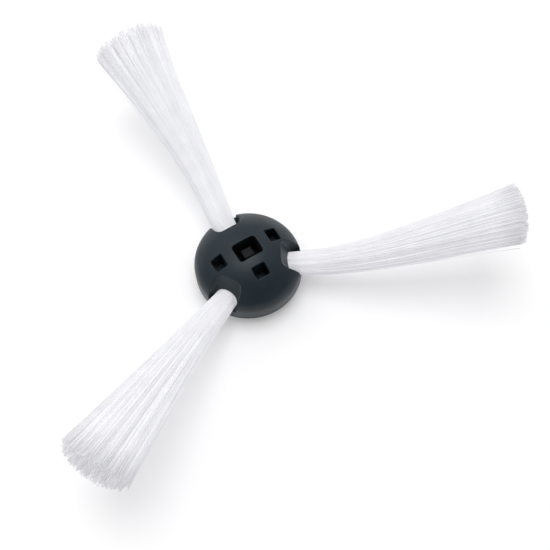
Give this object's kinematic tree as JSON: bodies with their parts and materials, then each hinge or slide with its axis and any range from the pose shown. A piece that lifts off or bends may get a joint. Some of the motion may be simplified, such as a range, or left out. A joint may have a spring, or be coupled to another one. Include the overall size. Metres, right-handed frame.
{
  "type": "robot vacuum side brush",
  "caption": "Side brush for a robot vacuum cleaner: a domed dark hub with a rectangular drive socket and clip windows, and long white bristle tufts slanting out of arched pockets.",
  "frame": {"origin": "on the hub axis, in the plane of the hub's base ring, where the drive post enters", "axes": "+Z along the hub axis out of the crown, +X along the long side of the drive opening, +Y towards the tuft that stands alone"},
  "size_m": [0.1299, 0.1144, 0.0359],
  "materials": {
    "hub_plastic": "satin",
    "bristle_nylon": "satin",
    "anchor_wire": "satin"
  },
  "bodies": {
    "root": {"hub": "hub_plastic", "bristle_tuft_1": "bristle_nylon", "bristle_tuft_2": "bristle_nylon", "bristle_tuft_3": "bristle_nylon", "tuft_anchor_1": "anchor_wire", "tuft_anchor_2": "anchor_wire", "tuft_anchor_3": "anchor_wire"}
  },
  "joints": []
}
